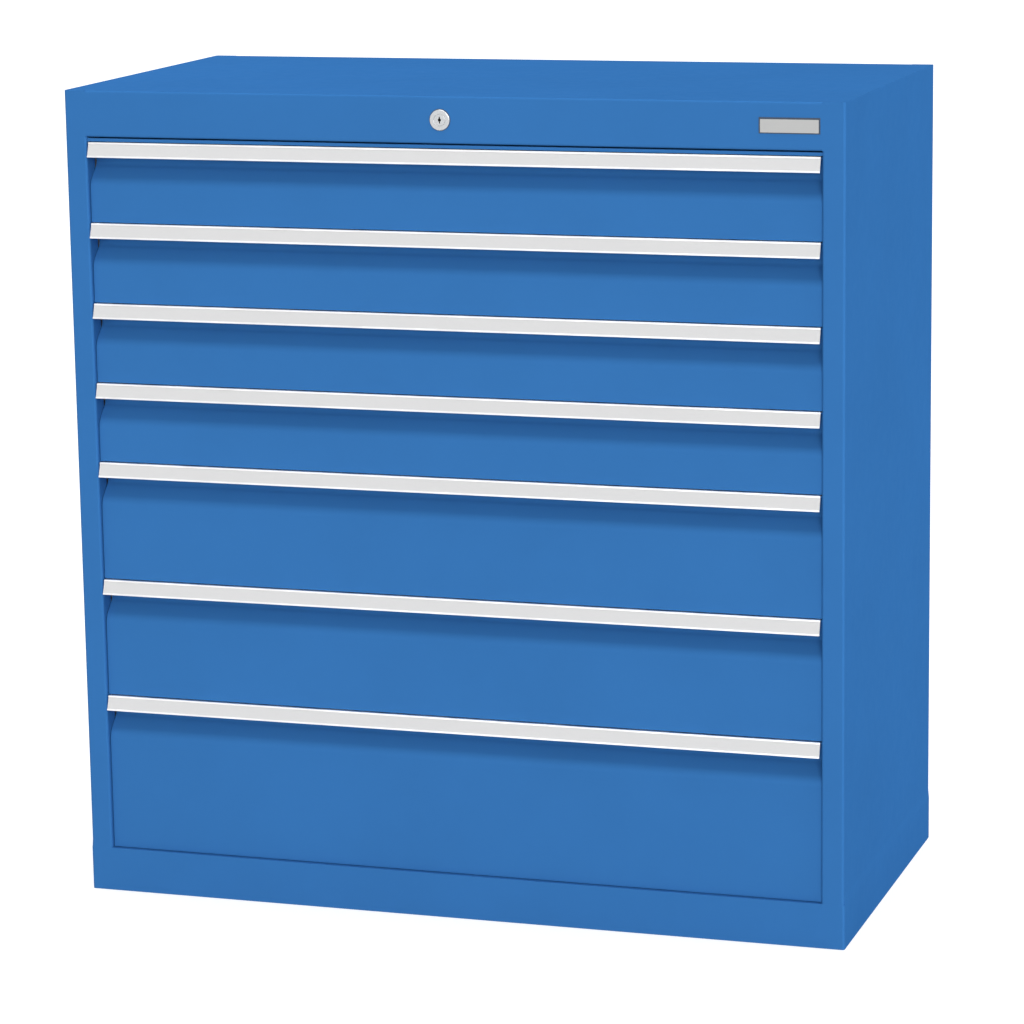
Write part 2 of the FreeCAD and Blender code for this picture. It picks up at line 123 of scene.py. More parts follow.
# Edge rounds carry the attribute edgeRubHighlight, and share is how far the lighter edge colour comes
# through there: partly rubbed coating and polish, partly a painted highlight along the edge
def rubbedHighlitEdges(tree, patches, share, colour, rubbedHighlightColour):
    edge = addNode(tree, "ShaderNodeAttribute", attribute_name="edgeRubHighlight").outputs["Fac"]
    rubbedHighlit = times(tree, times(tree, edge, remap(tree, patches, *rubbedHighlightPatches)), share)
    return blendColours(tree, rubbedHighlit, colour, rubbedHighlightColour + (1.0,))


# Every finish ends so: its colour, roughness that follows a mask, and relief from a height
def applyFinish(tree, shader, look, colour, mask, height):
    tree.links.new(colour, shader.inputs["Base Color"])
    rough = remap(tree, mask, *look["maskSpan"], *look["roughness"])
    tree.links.new(rough, shader.inputs["Roughness"])
    strength, distance = look["relief"]
    bump = addNode(tree, "ShaderNodeBump", {"Height": height, "Strength": strength, "Distance": distance})
    tree.links.new(bump.outputs["Normal"], shader.inputs["Normal"])


# Finishes: each noise is given as scale, detail and roughness
blueCoatLook = {
    "colour": (0.0350, 0.1550, 0.4060),
    "tones": (0.982, 1.018),
    "peel": (950.0, 1.5, 0.45),
    "drift": (7.0, 4.0, 0.55),
    "driftSpan": (0.36, 0.64),
    "patches": (60.0, 7.0, 0.62),
    "maskSpan": (0.35, 0.68),
    "roughness": (0.44, 0.58),
    "relief": (0.10, 0.0003),
    "sheen": 0.12,
    "sheenEdge": (0.10, 0.33, 0.68),
    "specular": 0.0,
    # lighter blue on the edge rounds: partly rubbed coat, partly a painted highlight
    "rubbedHighlightColour": (0.10, 0.27, 0.56),
    "wear": 0.35,
}
greyCoatLook = dict(
    blueCoatLook,
    colour=(0.330, 0.352, 0.372),
    tones=(0.97, 1.03),
    peel=(1100.0, 1.5, 0.45),
    roughness=(0.42, 0.58),
    relief=(0.09, 0.0003),
    sheen=0.0,
    sheenEdge=(1.0, 1.0, 1.0),
    specular=0.35,
    rubbedHighlightColour=(0.50, 0.50, 0.50),
    wear=0.45,
)


def powderCoat(name, look):
    material, tree, shader = newMaterial(name)
    place = objectPlace(tree)
    peel = noise(tree, place, *look["peel"])
    drift = noise(tree, place, *look["drift"])
    patches = noise(tree, place, *look["patches"])
    coat = toned(tree, remap(tree, drift, *look["driftSpan"]), look)
    # Edge rounds lightened: partly rubbing, partly a painted highlight
    coat = rubbedHighlitEdges(tree, patches, look["wear"], coat, look["rubbedHighlightColour"])
    shader.inputs["Metallic"].default_value = look["sheen"]
    shader.inputs["Specular Tint"].default_value = look["sheenEdge"] + (1.0,)
    shader.inputs["Specular IOR Level"].default_value = look["specular"]
    applyFinish(tree, shader, look, coat, patches, peel)
    return material


anodisedLook = {
    "colour": (0.83, 0.83, 0.84),
    "tones": (0.96, 1.03),
    "grainStretch": (14.0, 2600.0, 2600.0),
    "grain": (1.0, 3.0, 0.6),
    "drift": (25.0, 5.0, 0.6),
    "maskSpan": (0.35, 0.65),
    "roughness": (0.30, 0.44),
    "relief": (0.05, 0.0001),
    "rubbedHighlightColour": (0.92, 0.92, 0.92),
    "wear": 0.5,
}


def anodisedAluminium(name, look):
    material, tree, shader = newMaterial(name)
    grain = noise(tree, objectPlace(tree, look["grainStretch"]), *look["grain"])
    drift = noise(tree, objectPlace(tree), *look["drift"])
    # Edge rounds lightened: partly rubbing, partly a painted highlight
    colour = rubbedHighlitEdges(tree, drift, look["wear"], toned(tree, grain, look), look["rubbedHighlightColour"])
    shader.inputs["Metallic"].default_value = 1.0
    applyFinish(tree, shader, look, colour, drift, grain)
    return material


stripLook = {
    "colour": (0.615, 0.615, 0.617),
    "tones": (0.975, 1.02),
    "fibreStretch": (0.35, 1, 1),
    "fibres": (420.0, 5.0, 0.6),
    "drift": (9.0, 4.0, 0.5),
    "maskSpan": (0.35, 0.65),
    "roughness": (0.30, 0.42),
    "relief": (0.03, 0.0001),
    "specular": 0.35,
}


def stripPlastic(name, look):
    material, tree, shader = newMaterial(name)
    fibres = noise(tree, objectPlace(tree, look["fibreStretch"]), *look["fibres"])
    drift = noise(tree, objectPlace(tree), *look["drift"])
    shader.inputs["Specular IOR Level"].default_value = look["specular"]
    applyFinish(tree, shader, look, toned(tree, fibres, look), drift, fibres)
    return material


zincLook = {
    "colour": (0.52, 0.53, 0.55),
    "tones": (0.86, 1.10),
    "spangleScale": 170.0,
    "ripple": (90.0, 3.0, 0.5),
    "rippleReach": 0.004,
    "dull": (30.0, 6.0, 0.6),
    "dullSpan": (0.55, 0.75, 0.0, 0.5),
    "dullColour": (0.46, 0.47, 0.49),
    "maskSpan": (0.0, 1.0),
    "roughness": (0.30, 0.50),
    "relief": (0.06, 0.0004),
}


def zincSteel(name, look):
    material, tree, shader = newMaterial(name)
    place = objectPlace(tree)
    bend = noise(tree, place, *look["ripple"])
    ripple = scaledVector(tree, bend, look["rippleReach"])
    wavy = addNode(tree, "ShaderNodeVectorMath", {0: place, 1: ripple}, operation="ADD")
    spangleSockets = {"Vector": wavy.outputs[0], "Scale": look["spangleScale"]}
    spangle = addNode(tree, "ShaderNodeTexVoronoi", spangleSockets)
    tone = addNode(tree, "ShaderNodeSeparateColor", {"Color": spangle.outputs["Color"]}).outputs[0]
    dull = noise(tree, place, *look["dull"])
    dulled = remap(tree, dull, *look["dullSpan"])
    colour = blendColours(tree, dulled, toned(tree, tone, look), look["dullColour"] + (1.0,))
    shader.inputs["Metallic"].default_value = 1.0
    applyFinish(tree, shader, look, colour, tone, dull)
    return material


chromeLook = {
    "colour": (0.53, 0.54, 0.555),
    "tones": (0.93, 1.05),
    "ringScale": 5200.0,
    "ringDetail": 2.0,
    "rubs": (240.0, 6.0, 0.65),
    "maskSpan": (0.35, 0.68),
    "roughness": (0.16, 0.34),
    "relief": (0.08, 0.0001),
    "rubbedHighlightColour": (0.92, 0.92, 0.91),
    "wear": 0.4,
    # the keyway fades into painted shade between these depths behind the plug's face, to this colour
    "keywayShadeDepths": (0.0005, 0.0009),
    "keywayShadeColour": (0.006, 0.006, 0.006),
}


# Turned face: fine rings about the lock's axis, and, where the plug's face is given, painted shade that
# darkens the keyway behind that face
def turnedChrome(name, look, centre, plugFace=None):
    material, tree, shader = newMaterial(name)
    place = objectPlace(tree, (1, 0, 1), centre)
    radius = addNode(tree, "ShaderNodeVectorMath", {0: place}, operation="LENGTH").outputs["Value"]
    ringSockets = {"W": times(tree, radius, look["ringScale"]), "Scale": 1.0, "Detail": look["ringDetail"]}
    rings = addNode(tree, "ShaderNodeTexNoise", ringSockets, noise_dimensions="1D").outputs["Fac"]
    rubs = noise(tree, objectPlace(tree), *look["rubs"])
    # Edge rounds lightened: partly rubbing, partly a painted highlight
    colour = rubbedHighlitEdges(tree, rubs, look["wear"], toned(tree, rings, look), look["rubbedHighlightColour"])
    if plugFace is not None:
        depth = addNode(tree, "ShaderNodeSeparateXYZ", {0: objectPlace(tree)}).outputs["Y"]
        start, end = look["keywayShadeDepths"]
        # Faces deeper than the plug's face turn near-black: painted shade inside the keyway
        inside = remap(tree, depth, plugFace + start, plugFace + end)
        colour = blendColours(tree, inside, colour, look["keywayShadeColour"] + (1.0,))
    shader.inputs["Metallic"].default_value = 1.0
    applyFinish(tree, shader, look, colour, rubs, rings)
    return material


nylonLook = {
    "colour": (0.70, 0.69, 0.64),
    "tones": (0.93, 1.04),
    "grain": (700.0, 3.0, 0.5),
    "drift": (40.0, 5.0, 0.6),
    "maskSpan": (0.35, 0.65),
    "roughness": (0.38, 0.55),
    "relief": (0.10, 0.0002),
}


def mouldedNylon(name, look):
    material, tree, shader = newMaterial(name)
    place = objectPlace(tree)
    grain = noise(tree, place, *look["grain"])
    drift = noise(tree, place, *look["drift"])
    applyFinish(tree, shader, look, toned(tree, drift, look), drift, grain)
    return material


plateLook = {
    "colour": (0.450, 0.453, 0.450),
    "tones": (0.95, 1.04),
    # dark colour of the painted shade along the badge's edge and in the rings around badge and lock, and
    # that border's width on the plate
    "shadeRimColour": (0.030, 0.050, 0.085),
    "shadeRimWidth": 0.0011,
    "grainStretch": (30.0, 1, 3000.0),
    "grain": (1.0, 3.0, 0.6),
    "drift": (120.0, 5.0, 0.6),
    "maskSpan": (0.35, 0.65),
    "roughness": (0.30, 0.42),
    "relief": (0.05, 0.0001),
}


# Faces with the attribute paintedShadeRim take the dark colour of painted shade along the plate's edge
def plateFace(name, look):
    material, tree, shader = newMaterial(name)
    grain = noise(tree, objectPlace(tree, look["grainStretch"]), *look["grain"])
    drift = noise(tree, objectPlace(tree), *look["drift"])
    rim = addNode(tree, "ShaderNodeAttribute", attribute_name="paintedShadeRim").outputs["Fac"]
    colour = blendColours(tree, rim, toned(tree, grain, look), look["shadeRimColour"] + (1.0,))
    applyFinish(tree, shader, look, colour, drift, grain)
    return material


lockCentre = middleOf("lock_housing")
finishes = {
    "blue_powder_coat": powderCoat("bluePowderCoat", blueCoatLook),
    "grey_tray_coat": powderCoat("greyTrayCoat", greyCoatLook),
    "anodised_grip": anodisedAluminium("anodisedGrip", anodisedLook),
    "label_plastic": stripPlastic("labelStripPlastic", stripLook),
    "zinc_steel": zincSteel("zincSteel", zincLook),
    "lock_chrome": turnedChrome("lockChrome", chromeLook, lockCentre),
    "nylon": mouldedNylon("mouldedNylon", nylonLook),
    "badge_plastic": plateFace("badgeFace", plateLook),
}
# The plug's finish paints shade into its keyway
plugShadedFinish = turnedChrome("plugChromeKeywayShade", chromeLook, lockCentre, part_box("lock_plug")[0].y)
# Near-black rings around badge and lock stand in for shade in the gaps there
shadeRingFinish = plateFace("paintedShadeRings", dict(plateLook, colour=plateLook["shadeRimColour"]))
print("finishes made:", len(finishes) + 2)


# Small pieces of the shell that aren't in the frame: ground welds, fairings, and dark rings of painted shade
# around the badge and the lock

# Closed piece from rings of points: capped at both ends, or its last ring joined to its first
def ringPiece(name, rings, capped, material):
    shape = bmesh.new()
    rows = [[shape.verts.new(point) for point in ring] for ring in rings]
    pairs = list(zip(rows, rows[1:]))
    if capped:
        shape.faces.new(rows[0])
        shape.faces.new(rows[-1])
    else:
        pairs.append((rows[-1], rows[0]))
    for near, far in pairs:
        for i in range(len(near)):
            j = (i + 1) % len(near)
            shape.faces.new((near[i], near[j], far[j], far[i]))
    bmesh.ops.recalc_face_normals(shape, faces=shape.faces)
    mesh = bpy.data.meshes.new(name)
    shape.to_mesh(mesh)
    shape.free()
    mesh.materials.append(material)
    piece = bpy.data.objects.new(name, mesh)
    bpy.context.scene.collection.objects.link(piece)
    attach(piece, "cabinet")
    return piece


sideLow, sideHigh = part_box("side_panel_right")
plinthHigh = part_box("plinth")[1]
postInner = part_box("top_rail")[1].x
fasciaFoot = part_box("top_panel")[0].z
fillLook = {"bendRadius": 0.0030, "bendSteps": 8, "fairingHeight": 0.012}


def filler(stem, side, rings):
    name = stem + ("Right" if side > 0 else "Left")
    return ringPiece(name, rings, True, finishes["blue_powder_coat"])


# The rounded bend of each post leaves a groove beside the fascia, welded full and ground flush
def fasciaWeld(side):
    radius = fillLook["bendRadius"]
    outline = [(postInner, sideLow.y)]
    for step in range(fillLook["bendSteps"] + 1):
        angle = math.pi / 2 * step / fillLook["bendSteps"]
        x = postInner + radius * (1 - math.sin(angle))
        y = sideLow.y + radius * (1 - math.cos(angle))
        outline.append((x, y))
    rings = [[(side * x, y, z) for x, y in outline] for z in (fasciaFoot, sideHigh.z)]
    return filler("fasciaWeld", side, rings)


# The step from the side out to the plinth is faired in before coating
def plinthFairing(side):
    fairingHead = plinthHigh.z + fillLook["fairingHeight"]
    outline = [(sideHigh.x, plinthHigh.z), (plinthHigh.x, plinthHigh.z), (sideHigh.x, fairingHead)]
    ends = (sideLow.y + fillLook["bendRadius"], sideHigh.y - fillLook["bendRadius"])
    rings = [[(side * x, y, z) for x, z in outline] for y in ends]
    return filler("plinthFairing", side, rings)


fillers = {}
for side in (1, -1):
    for piece in (fasciaWeld(side), plinthFairing(side)):
        fillers[piece.name] = piece

# Sizes of the dark ring of painted shade around the badge
badgeShadeBorder = {"side": 0.0010, "head": 0.0014, "foot": 0.0005, "reach": 0.0004}
# Sizes of the dark ring of painted shade around the lock's flange
lockShadeBorder = {"width": 0.0007, "reach": 0.0004, "sides": 72}


# Flat dark ring on the fascia between two outlines, standing out by reach: painted shade of the gap around a
# part set in the fascia
def frontRing(name, outer, inner, reach):
    depths = ((outer, sideLow.y), (outer, sideLow.y - reach), (inner, sideLow.y - reach), (inner, sideLow.y))
    rings = [[(x, y, z) for x, z in outline] for outline, y in depths]
    return ringPiece(name, rings, False, shadeRingFinish)


# Dark ring around the badge: painted shade of its edge
def badgeShadeFrame():
    low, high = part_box("badge_plate")
    inner = [(low.x, low.z), (high.x, low.z), (high.x, high.z), (low.x, high.z)]
    left = low.x - badgeShadeBorder["side"]
    right = high.x + badgeShadeBorder["side"]
    foot = low.z - badgeShadeBorder["foot"]
    head = high.z + badgeShadeBorder["head"]
    outer = [(left, foot), (right, foot), (right, head), (left, head)]
    frontRing("badgeShadeFrame", outer, inner, badgeShadeBorder["reach"])


def circleRound(centre, radius, sides):
    angles = [2 * math.pi * i / sides for i in range(sides)]
    return [(centre.x + radius * math.cos(a), centre.z + radius * math.sin(a)) for a in angles]


# Dark ring around the lock's flange: painted shade of the gap there
def lockShadeRing():
    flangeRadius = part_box("lock_housing")[1].x - lockCentre.x
    outer = circleRound(lockCentre, flangeRadius + lockShadeBorder["width"], lockShadeBorder["sides"])
    inner = circleRound(lockCentre, flangeRadius - lockShadeBorder["width"], lockShadeBorder["sides"])
    frontRing("lockShadeRing", outer, inner, lockShadeBorder["reach"])


badgeShadeFrame()
lockShadeRing()
print("welds, fairings and trim made:", len(fillers) + 2)


# Pieces from the frame: each node's mesh is copied, cleaned and given rounded edges
meshRules = {
    "mergeWithin": 2e-6,
    "flatAngle": math.radians(0.6),
    "roundFrom": math.radians(35),
    "creaseFrom": math.radians(50),
    "seamWithin": 2e-5,
    "cutWithin": 1e-6,
}

# Sheets that meet flush are welded and coated as one, so their edges there stay unrounded
flushWith = {
    "side_panel_right": ("top_panel", "plinth", "plinthFairingRight"),
    "side_panel_left": ("top_panel", "plinth", "plinthFairingLeft"),
    "top_panel": ("side_panel_right", "side_panel_left", "fasciaWeldRight", "fasciaWeldLeft"),
    "plinth": ("side_panel_right", "side_panel_left", "plinthFairingRight", "plinthFairingLeft"),
}

# Planes, as a place and a normal, that split an edge where it is flush along a part of its length
splitAt = {
    "side_panel_right": [((0, 0, fasciaFoot), (0, 0, 1))],
    "side_panel_left": [((0, 0, fasciaFoot), (0, 0, 1))],
    "plinth": [((postInner, 0, 0), (1, 0, 0)), ((-postInner, 0, 0), (1, 0, 0))],
}


def cleanShape(node):
    shape = bmesh.new()
    shape.from_mesh(nodes[node].data)
    bmesh.ops.remove_doubles(shape, verts=shape.verts, dist=meshRules["mergeWithin"])
    bmesh.ops.dissolve_limit(shape, angle_limit=meshRules["flatAngle"], verts=shape.verts, edges=shape.edges)
    for face in shape.faces:
        face.smooth = True
    return shape


def searchTree(data):
    return BVHTree.FromPolygons([v.co for v in data.vertices], [p.vertices for p in data.polygons])


# Sharp edges get bevel weight 1, apart from those that lie on a neighbour all along
def markEdges(shape, neighbours):
    trees = [searchTree((nodes.get(name) or fillers[name]).data) for name in neighbours]
    weight = shape.edges.layers.float.new("bevel_weight_edge")
    for edge in shape.edges:
        if len(edge.link_faces) != 2 or edge.calc_face_angle() < meshRules["roundFrom"]:
            continue
        first, last = (corner.co for corner in edge.verts)
        places = (first, (first + last) / 2, last)
        within = meshRules["seamWithin"]
        onSeam = any(all(tree.find_nearest(place)[3] < within for place in places) for tree in trees)
        edge[weight] = 0.0 if onSeam else 1.0


# Applies the piece's modifiers to its mesh
def settled(piece):
    before = piece.data
    graph = bpy.context.evaluated_depsgraph_get()
    evaluated = piece.evaluated_get(graph)
    mesh = bpy.data.meshes.new_from_object(evaluated, preserve_all_data_layers=True, depsgraph=graph)
    piece.modifiers.clear()
    piece.data = mesh
    bpy.data.meshes.remove(before)
    return mesh


# Edges that stay sharp, and those where solids of one node meet, split the shading
def crease(mesh):
    shape = bmesh.new()
    shape.from_mesh(mesh)
    for edge in shape.edges:
        edge.smooth = len(edge.link_faces) == 2 and edge.calc_face_angle() < meshRules["creaseFrom"]
    shape.to_mesh(mesh)
    shape.free()


# Faces that the bevel adds get a second slot first, which then becomes the edgeRubHighlight attribute, where
# edges take their rubbed and painted-highlight colour
def roundedPiece(name, shape, finish, edgeRound, segments):
    mesh = bpy.data.meshes.new(name)
    shape.to_mesh(mesh)
    shape.free()
    piece = bpy.data.objects.new(name, mesh)
    bpy.context.scene.collection.objects.link(piece)
    mesh.materials.append(finishes[finish])
    mesh.materials.append(finishes[finish])
    bevel = piece.modifiers.new("roundedEdges", "BEVEL")
    bevel.width = edgeRound
    bevel.segments = segments
    bevel.limit_method = "WEIGHT"
    bevel.material = 1
    mesh = settled(piece)
    wear = mesh.attributes.new("edgeRubHighlight", "FLOAT", "FACE")
    slots = [0] * len(mesh.polygons)
    mesh.polygons.foreach_get("material_index", slots)
    wear.data.foreach_set("value", [float(s) for s in slots])
    mesh.polygons.foreach_set("material_index", [0] * len(slots))
    mesh.materials.pop(index=1)
    mesh.attributes.remove(mesh.attributes["bevel_weight_edge"])
    crease(mesh)
    flatter = piece.modifiers.new("flatNormals", "WEIGHTED_NORMAL")
    flatter.keep_sharp = True
    settled(piece)
    return piece


# The badge's front face stays plain inside a dark border of painted shade
def paintShadeRim(shape):
    layer = shape.faces.layers.float.new("paintedShadeRim")
    front = min(shape.faces, key=lambda face: face.calc_center_median().y)
    for face in shape.faces:
        face[layer] = 1.0
    bmesh.ops.inset_region(shape, faces=[front], thickness=plateLook["shadeRimWidth"], depth=0.0)
    front[layer] = 0.0


def dress(node, finish, edgeRound, segments):
    words = node.split("_")
    name = words[0] + "".join(word.capitalize() for word in words[1:]) + "Finished"
    shape = cleanShape(node)
    for place, normal in splitAt.get(node, ()):
        everything = list(shape.verts) + list(shape.edges) + list(shape.faces)
        within = meshRules["cutWithin"]
        bmesh.ops.bisect_plane(shape, geom=everything, plane_co=place, plane_no=normal, dist=within)
    if node == "badge_plate":
        paintShadeRim(shape)
    markEdges(shape, flushWith.get(node, ()))
    piece = roundedPiece(name, shape, finish, edgeRound, segments)
    if node == "lock_plug":
        piece.data.materials[0] = plugShadedFinish
    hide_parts(node)
    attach(piece, bodyOf[node])


# finish, edge round in metres and segments for each kind of node
shellFinish = {
    "side_panel_right": ("blue_powder_coat", 0.0004, 2),
    "side_panel_left": ("blue_powder_coat", 0.0004, 2),
    "top_panel": ("blue_powder_coat", 0.0004, 2),
    "back_panel": ("blue_powder_coat", 0.0003, 1),
    "bottom_panel": ("blue_powder_coat", 0.0003, 1),
    "top_rail": ("blue_powder_coat", 0.0003, 2),
    "plinth": ("blue_powder_coat", 0.0004, 2),
    "front_uprights": ("zinc_steel", 0.0003, 1),
    "rear_uprights": ("zinc_steel", 0.0003, 1),
    "cabinet_rails": ("zinc_steel", 0.0003, 2),
    "lock_bar_guides": ("nylon", 0.0006, 2),
    "lock_shaft_bracket": ("zinc_steel", 0.0003, 2),
    "badge_plate": ("badge_plastic", 0.0002, 2),
    "lock_housing": ("lock_chrome", 0.0002, 2),
    "lock_nut": ("zinc_steel", 0.0004, 2),
    "lock_plug": ("lock_chrome", 0.00015, 2),
    "lock_shaft": ("zinc_steel", 0.0003, 2),
    "lock_bar": ("zinc_steel", 0.0004, 2),
}
drawerFinish = {
    "front": ("blue_powder_coat", 0.00045, 2),
    "grip": ("anodised_grip", 0.00018, 2),
    "label_strip": ("label_plastic", 0.0001, 1),
    "tray": ("grey_tray_coat", 0.00035, 1),
    "rails": ("zinc_steel", 0.0003, 2),
    "middle_rails": ("zinc_steel", 0.0003, 2),
}
drawers = ["drawer_%d" % (index + 1) for index in range(sum(node.endswith("_tray") for node in nodes))]
for node, finish in shellFinish.items():
    dress(node, *finish)
for drawer in drawers:
    for kind, finish in drawerFinish.items():
        dress(drawer + "_" + kind, *finish)
print("pieces dressed:", len(shellFinish) + len(drawers) * len(drawerFinish))


# Fasteners: rows of heads set along wires by one Geometry Nodes tree
headInputs = {
    "Pitch": 0.1,
    "Head Radius": 0.004,
    "Head Height": 0.001,
    "Crown Share": 0.6,
    "Bulge": 0.15,
    "Drive Share": 0.55,
}
headShape = {"sides": 14, "steps": 2, "slotShare": 0.24, "leastDrive": 0.01, "seed": 7}


# A head is a cone frustum, swollen at half its height, with a cross cut into it where it has a drive
def fastenerTree():
    tree = bpy.data.node_groups.new("fastenerRows", "GeometryNodeTree")
    face = tree.interface
    face.new_socket("Wires", in_out="INPUT", socket_type="NodeSocketGeometry")
    for name, value in headInputs.items():
        face.new_socket(name, in_out="INPUT", socket_type="NodeSocketFloat").default_value = value
    face.new_socket("Seed", in_out="INPUT", socket_type="NodeSocketInt").default_value = headShape["seed"]
    face.new_socket("Finish", in_out="INPUT", socket_type="NodeSocketMaterial")
    face.new_socket("Heads", in_out="OUTPUT", socket_type="NodeSocketGeometry")
    given = tree.nodes.new("NodeGroupInput").outputs
    radius = given["Head Radius"]
    height = given["Head Height"]

    curve = addNode(tree, "GeometryNodeMeshToCurve", {"Mesh": given["Wires"]}).outputs["Curve"]
    spacing = {"Curve": curve, "Length": given["Pitch"]}
    spaced = addNode(tree, "GeometryNodeResampleCurve", spacing, mode="LENGTH").outputs["Curve"]
    facing = addNode(tree, "GeometryNodeInputNamedAttribute", {"Name": "facing"}, data_type="FLOAT_VECTOR")
    outOf = {"Vector": facing.outputs["Attribute"]}
    aligned = addNode(tree, "FunctionNodeAlignRotationToVector", outOf, axis="Z").outputs[0]

    coneSizes = {
        "Vertices": headShape["sides"],
        "Side Segments": headShape["steps"],
        "Radius Top": times(tree, radius, given["Crown Share"]),
        "Radius Bottom": radius,
        "Depth": height,
    }
    cone = addNode(tree, "GeometryNodeMeshCone", coneSizes).outputs["Mesh"]
    place = addNode(tree, "GeometryNodeInputPosition").outputs[0]
    level = addNode(tree, "ShaderNodeSeparateXYZ", {0: place}).outputs["Z"]
    share = calculated(tree, "DIVIDE", level, height)
    rest = calculated(tree, "SUBTRACT", 1.0, share)
    swell = times(tree, times(tree, share, rest), times(tree, given["Bulge"], 4.0))
    outward = addNode(tree, "ShaderNodeVectorMath", {0: place, 1: (1, 1, 0)}, operation="MULTIPLY")
    offset = scaledVector(tree, outward.outputs[0], swell)
    domed = addNode(tree, "GeometryNodeSetPosition", {"Geometry": cone, "Offset": offset}).outputs[0]

    slotLength = times(tree, times(tree, radius, given["Drive Share"]), 2.0)
    slotWidth = times(tree, slotLength, headShape["slotShare"])
    up = addNode(tree, "ShaderNodeCombineXYZ", {2: height}).outputs[0]
    cut = domed
    for x, y in ((slotLength, slotWidth), (slotWidth, slotLength)):
        size = addNode(tree, "ShaderNodeCombineXYZ", {0: x, 1: y, 2: height}).outputs[0]
        blade = addNode(tree, "GeometryNodeMeshCube", {"Size": size}).outputs["Mesh"]
        blade = addNode(tree, "GeometryNodeTransform", {"Geometry": blade, "Translation": up}).outputs[0]
        meshes = {"Mesh 1": cut, "Mesh 2": blade}
        cut = addNode(tree, "GeometryNodeMeshBoolean", meshes, operation="DIFFERENCE").outputs["Mesh"]
    driveLimit = {0: given["Drive Share"], 1: headShape["leastDrive"]}
    driven = addNode(tree, "FunctionNodeCompare", driveLimit, operation="GREATER_THAN").outputs[0]
    choice = {"Switch": driven, "False": domed, "True": cut}
    head = addNode(tree, "GeometryNodeSwitch", choice, input_type="GEOMETRY").outputs[0]

    setting = {"Points": spaced, "Instance": head, "Rotation": aligned}
    heads = addNode(tree, "GeometryNodeInstanceOnPoints", setting).outputs["Instances"]
    spinRange = {"Min": (0, 0, 0), "Max": (0, 0, math.pi), "Seed": given["Seed"]}
    spin = addNode(tree, "FunctionNodeRandomValue", spinRange, data_type="FLOAT_VECTOR").outputs["Value"]
    heads = addNode(tree, "GeometryNodeRotateInstances", {"Instances": heads, "Rotation": spin}).outputs[0]
    solid = addNode(tree, "GeometryNodeRealizeInstances", {"Geometry": heads}).outputs[0]
    finish = {"Geometry": solid, "Material": given["Finish"]}
    painted = addNode(tree, "GeometryNodeSetMaterial", finish).outputs[0]
    addNode(tree, "NodeGroupOutput", {"Heads": painted})
    return tree


rowTree = fastenerTree()
rowSockets = [item for item in rowTree.interface.items_tree if item.item_type == "SOCKET"]
socketOf = {item.name: item.identifier for item in rowSockets}
flatRivet = {
    "Head Radius": 0.0030, "Head Height": 0.00035, "Crown Share": 0.80, "Bulge": 0.04, "Drive Share": 0.0}
domeRivet = {
    "Head Radius": 0.0035, "Head Height": 0.00125, "Crown Share": 0.45, "Bulge": 0.22, "Drive Share": 0.0}
panScrew = {
    "Head Radius": 0.0040, "Head Height": 0.0022, "Crown Share": 0.62, "Bulge": 0.16, "Drive Share": 0.55}
smallScrew = {
    "Head Radius": 0.0022, "Head Height": 0.0011, "Crown Share": 0.66, "Bulge": 0.12, "Drive Share": 0.58}
rowLook = {
    "sunk": 0.00005,            # heads start a hair inside their surface
    "pitchShare": 0.999,        # a pitch a little under the gap always gives the last head
    "railStart": 0.4560,        # inside the channel of a cabinet rail, in front of its web
    "guideInset": 0.0038,
    "guideStart": 0.01,
    "traySideHalf": 0.200,
    "traySideGaps": 4,
    "trayFrontHalf": 0.4125,
    "trayFrontGaps": 3,
    "trayStart": 0.02,
}
surfaceOf = {}


# Point of a node's surface met from a place while going against the facing direction
def onSurface(node, place, facing):
    if node not in surfaceOf:
        surfaceOf[node] = searchTree(nodes[node].data)
    hit = surfaceOf[node].ray_cast(Vector(place), -Vector(facing))[0]
    if hit is None:
        raise RuntimeError("no surface of " + node + " for a fastener")
    return hit - Vector(facing) * rowLook["sunk"]


# rows: node, first and last place in front of its surface, facing direction
def setFasteners(name, rows, look, span, gaps, body):
    wires = bpy.data.meshes.new(name + "Wires")
    places = []
    for node, first, last, facing in rows:
        places += [onSurface(node, first, facing), onSurface(node, last, facing)]
    wires.from_pydata(places, [(2 * i, 2 * i + 1) for i in range(len(rows))], [])
    facings = wires.attributes.new("facing", "FLOAT_VECTOR", "POINT")
    facings.data.foreach_set("vector", [c for row in rows for end in range(2) for c in row[3]])
    piece = bpy.data.objects.new(name, wires)
    bpy.context.scene.collection.objects.link(piece)
    modifier = piece.modifiers.new("heads", "NODES")
    modifier.node_group = rowTree
    for key, value in dict(look, Pitch=rowLook["pitchShare"] * span / gaps).items():
        modifier[socketOf[key]] = value
    modifier[socketOf["Finish"]] = finishes["zinc_steel"]
    graph = bpy.context.evaluated_depsgraph_get()
    heads = bpy.data.meshes.new_from_object(piece.evaluated_get(graph), depsgraph=graph)
    piece.modifiers.clear()
    piece.data = heads
    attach(piece, body)
    print(name, "rows:", len(rows), "faces:", len(heads.polygons))


# The middle of a drawer's slides, at which its rails and tray are fastened
def slideLevel(drawer):
    return middleOf(drawer + "_middle_rails").z


# Each cabinet rail is riveted to the front and the rear upright
def cabinetRailRivets():
    frontHole = middleOf("front_uprights").y
    rearHole = middleOf("rear_uprights").y
    rows = []
    for drawer in drawers:
        for side in (1, -1):
            ends = [(side * rowLook["railStart"], y, slideLevel(drawer)) for y in (frontHole, rearHole)]
            rows.append(("cabinet_rails", ends[0], ends[1], (-side, 0, 0)))
    setFasteners("cabinetRailRivets", rows, flatRivet, rearHole - frontHole, 1, "cabinet")


